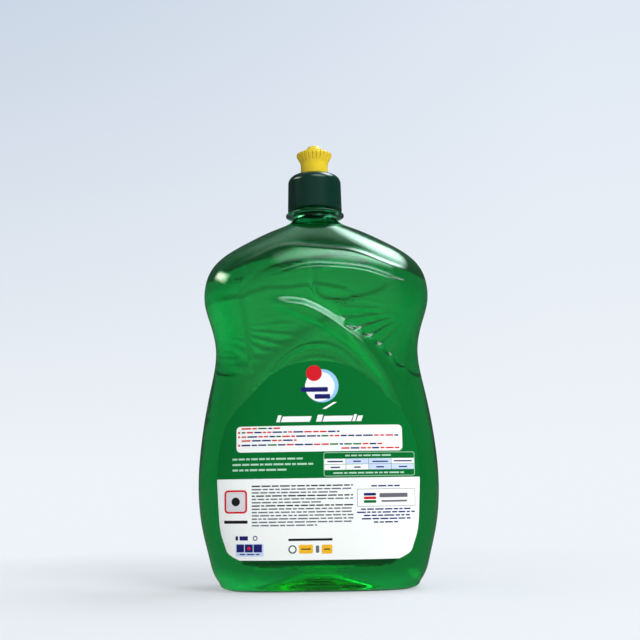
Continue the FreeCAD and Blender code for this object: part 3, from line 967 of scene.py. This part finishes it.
# the room: a pale floor and a pale sweep behind it for the camera, a dim studio for reflections
room = {
    "floorTint": (0.84, 0.875, 0.91, 1),
    "horizon": (0.862, 0.897, 0.943, 1),
    "highLeft": (0.575, 0.655, 0.770, 1),
    "highRight": (0.740, 0.808, 0.900, 1),
    "studioFront": (0.24, 0.26, 0.26, 1),
    "studioSide": (0.06, 0.07, 0.07, 1),
    "studioHigh": (0.12, 0.16, 0.16, 1),
    "cardLeft": (0.46, 0.48, 0.56, 1),
    "cardRight": (0.98, 1.0, 1.0, 1),
    "cardEdge": (0.30, 0.33, 0.34, 1),
    "cardHigh": (1.0, 1.0, 1.0, 1),
    "cardLow": (0.44, 0.46, 0.50, 1),
    "soft": (0.95, 0.97, 1.0, 1),
    "softStrength": 0.42,
    "floorGlow": 0.45,
    "floorThrough": 0.4,
    "floorMirrored": (0.10, 0.12, 0.12, 1),
}


def makeFloor():
    bm = bmesh.new()
    bmesh.ops.create_grid(bm, x_segments=2, y_segments=2, size=6.0)
    material = newMaterial("floor", {"Base Color": room["floorTint"], "Roughness": 0.9, "Specular IOR Level": 0.1})
    tree = material.node_tree
    output = tree.nodes["Material Output"]
    path = addNode(material, "ShaderNodeLightPath")
    under = addNode(material, "ShaderNodeMapRange", {
        "From Min": 0.07, "From Max": 0.25, "To Min": 1.0, "To Max": room["floorThrough"]})
    through = addNode(material, "ShaderNodeMath", operation="MULTIPLY")
    seen = addNode(material, "ShaderNodeMath", operation="MAXIMUM")
    glow = addNode(material, "ShaderNodeEmission", {"Color": room["horizon"], "Strength": 1.0})
    coords = addNode(material, "ShaderNodeTexCoord")
    away = addNode(material, "ShaderNodeVectorMath", operation="LENGTH")
    reach = addNode(material, "ShaderNodeMapRange", {
        "From Min": 0.12, "From Max": 0.42, "To Min": room["floorGlow"], "To Max": 1.0})
    share = addNode(material, "ShaderNodeMath", operation="MULTIPLY")
    mix = addNode(material, "ShaderNodeMixShader")
    link(material, coords.outputs["Object"], away.inputs[0])
    link(material, away.outputs["Value"], reach.inputs["Value"])
    link(material, path.outputs["Is Camera Ray"], share.inputs[0])
    link(material, reach.outputs["Result"], share.inputs[1])
    link(material, away.outputs["Value"], under.inputs["Value"])
    link(material, path.outputs["Is Transmission Ray"], through.inputs[0])
    link(material, under.outputs["Result"], through.inputs[1])
    link(material, share.outputs[0], seen.inputs[0])
    link(material, through.outputs[0], seen.inputs[1])
    link(material, seen.outputs[0], mix.inputs["Fac"])
    link(material, shaderOf(material).outputs[0], mix.inputs[1])
    link(material, glow.outputs[0], mix.inputs[2])
    dim = addNode(material, "ShaderNodeEmission", {"Color": room["floorMirrored"], "Strength": 1.0})
    last = addNode(material, "ShaderNodeMixShader")
    link(material, path.outputs["Is Glossy Ray"], last.inputs["Fac"])
    link(material, mix.outputs[0], last.inputs[1])
    link(material, dim.outputs[0], last.inputs[2])
    link(material, last.outputs[0], output.inputs["Surface"])
    floor = objectFrom(bm, "floor", material, False)


def makeWorld():
    world = bpy.data.worlds.new("studio")
    bpy.context.scene.world = world
    world.use_nodes = True
    tree = world.node_tree
    nodes, links = tree.nodes, tree.links
    nodes.clear()

    def blend(factor, low, high):
        mix = nodes.new("ShaderNodeMix")
        mix.data_type = "RGBA"
        links.new(factor, mix.inputs["Factor"])
        for socket, value in (("A", low), ("B", high)):
            if isinstance(value, tuple):
                mix.inputs[socket].default_value = value
            else:
                links.new(value, mix.inputs[socket])
        return mix.outputs["Result"]

    def between(value, low, high):
        span = nodes.new("ShaderNodeMapRange")
        span.inputs["From Min"].default_value = low
        span.inputs["From Max"].default_value = high
        links.new(value, span.inputs["Value"])
        return span.outputs["Result"]

    coords = nodes.new("ShaderNodeTexCoord")
    split = nodes.new("ShaderNodeSeparateXYZ")
    links.new(coords.outputs["Generated"], split.inputs["Vector"])
    x, y, z = (split.outputs[axis] for axis in "XYZ")
    high = blend(between(x, -0.30, 0.22), room["highLeft"], room["highRight"])
    sky = blend(between(z, 0.02, 0.46), room["horizon"], high)
    studio = blend(between(y, -0.5, -0.9), room["studioSide"], room["studioFront"])
    studio = blend(between(z, 0.35, 0.8), studio, room["studioHigh"])
    card = blend(between(x, -0.35, 0.2), room["cardLeft"], room["cardRight"])
    card = blend(between(z, 0.20, 0.06), card, room["cardLow"])
    card = blend(between(x, 0.25, 0.75), card, room["cardEdge"])
    card = blend(between(x, -0.25, -0.75), card, room["cardEdge"])
    card = blend(between(z, 0.5, 0.95), card, room["cardHigh"])
    through = blend(between(y, -0.1, 0.2), studio, card)
    path = nodes.new("ShaderNodeLightPath")

    def background(colour, strength=1.0):
        node = nodes.new("ShaderNodeBackground")
        node.inputs["Strength"].default_value = strength
        if isinstance(colour, tuple):
            node.inputs["Color"].default_value = colour
        else:
            links.new(colour, node.inputs["Color"])
        return node.outputs[0]

    def choose(ray, other, chosen):
        mix = nodes.new("ShaderNodeMixShader")
        links.new(path.outputs[ray], mix.inputs["Fac"])
        links.new(other, mix.inputs[1])
        links.new(chosen, mix.inputs[2])
        return mix.outputs[0]

    final = background(room["soft"], room["softStrength"])
    final = choose("Is Glossy Ray", final, background(studio))
    final = choose("Is Transmission Ray", final, background(through))
    final = choose("Is Camera Ray", final, background(sky))
    output = nodes.new("ShaderNodeOutputWorld")
    links.new(final, output.inputs["Surface"])


# lamps light the scene, and panels are only what shiny faces mirror: a window behind and over the right shoulder,
# a paler one over it, one over the front for the relief, and one over the left shoulder; a panel's light fades
# towards its edges
lamps = {
    "window": {"place": (0.47, 0.30, 1.26), "aim": (0.034, -0.024, 0.19), "along": (0.34, -0.67, 0.01),
               "length": 0.9, "width": 0.32, "watts": 6.0, "colour": (0.90, 0.98, 1.0)},
    "fill": {"place": (0.95, -1.25, 0.9), "aim": (0, 0, 0.1), "along": (1, 0, 0),
             "length": 0.8, "width": 0.8, "watts": 20.0, "colour": (1.0, 1.0, 1.0)},
}
panels = {
    "windowPanel": {"place": (0.55, 0.23, 1.28), "aim": (0.034, -0.024, 0.19), "along": (0.34, -0.67, 0.01),
                    "length": 1.25, "width": 0.75, "level": 13.0, "colour": (0.86, 0.99, 1.0)},
    "highPanel": {"place": (0.05, 0.25, 1.35), "aim": (0.0, -0.03, 0.17), "along": (1, 0, 0),
                  "length": 1.6, "width": 0.9, "level": 0.8, "colour": (0.85, 1.0, 0.97)},
    "bandPanel": {"place": (0.30, -0.72, 1.06), "aim": (0.0, -0.035, 0.152), "along": (1, 0, 0),
                  "length": 1.2, "width": 0.62, "level": 7.5, "colour": (0.88, 1.0, 1.0)},
    "leftPanel": {"place": (-1.0, -0.10, 0.86), "aim": (-0.051, -0.027, 0.172), "along": (0, 1, 0),
                  "length": 1.0, "width": 0.3, "level": 13.0, "colour": (1.0, 0.93, 0.78)},
}


def facing(spec):
    # turns a flat thing so that its face looks at the aim and its length lies along
    away = (Vector(spec["place"]) - Vector(spec["aim"])).normalized()
    across = away.cross(Vector(spec["along"])).normalized()
    turn = Matrix((across.cross(away), across, away)).transposed().to_4x4()
    return Matrix.Translation(spec["place"]) @ turn


def addPanels():
    for name, spec in panels.items():
        bm = bmesh.new()
        fade = bm.verts.layers.float.new("fade")
        bmesh.ops.create_grid(bm, x_segments=24, y_segments=16, size=1)
        for vert in bm.verts:
            vert[fade] = ((1 - vert.co.x**2) * (1 - vert.co.y**2)) ** 1.5
            vert.co = (vert.co.x * spec["length"] / 2, vert.co.y * spec["width"] / 2, 0)
        bm.transform(facing(spec))
        material = bpy.data.materials.new(name)
        material.use_nodes = True
        tree = material.node_tree
        tree.nodes.clear()
        shade = addNode(material, "ShaderNodeAttribute", attribute_name="fade")
        level = addNode(material, "ShaderNodeMath", {1: spec["level"]}, operation="MULTIPLY")
        glow = addNode(material, "ShaderNodeEmission", {"Color": (*spec["colour"], 1)})
        clear = addNode(material, "ShaderNodeBsdfTransparent")
        path = addNode(material, "ShaderNodeLightPath")
        shown = addNode(material, "ShaderNodeMath", operation="MULTIPLY")
        both = addNode(material, "ShaderNodeAddShader")
        output = addNode(material, "ShaderNodeOutputMaterial")
        link(material, shade.outputs["Fac"], level.inputs[0])
        link(material, level.outputs[0], shown.inputs[0])
        link(material, path.outputs["Is Glossy Ray"], shown.inputs[1])
        link(material, shown.outputs[0], glow.inputs["Strength"])
        link(material, clear.outputs[0], both.inputs[0])
        link(material, glow.outputs[0], both.inputs[1])
        link(material, both.outputs[0], output.inputs["Surface"])
        material.cycles.emission_sampling = "NONE"
        objectFrom(bm, name, material, False)


def addLamps():
    for name, lamp in lamps.items():
        light = bpy.data.lights.new(name, "AREA")
        light.shape = "RECTANGLE"
        light.size = lamp["length"]
        light.size_y = lamp["width"]
        light.energy = lamp["watts"]
        light.color = lamp["colour"]
        seat = bpy.data.objects.new(name, light)
        seat.matrix_world = facing(lamp)
        seat.visible_glossy = False
        seat.visible_transmission = False
        bpy.context.scene.collection.objects.link(seat)


makeFloor()
makeWorld()
addLamps()
addPanels()
bpy.context.scene.view_settings.view_transform = "Standard"
# the wall and the soap each turn a ray, so a way through the bottle takes many turns
bpy.context.scene.cycles.max_bounces = 28
bpy.context.scene.cycles.transmission_bounces = 28
bpy.context.scene.cycles.glossy_bounces = 8
print("room set")
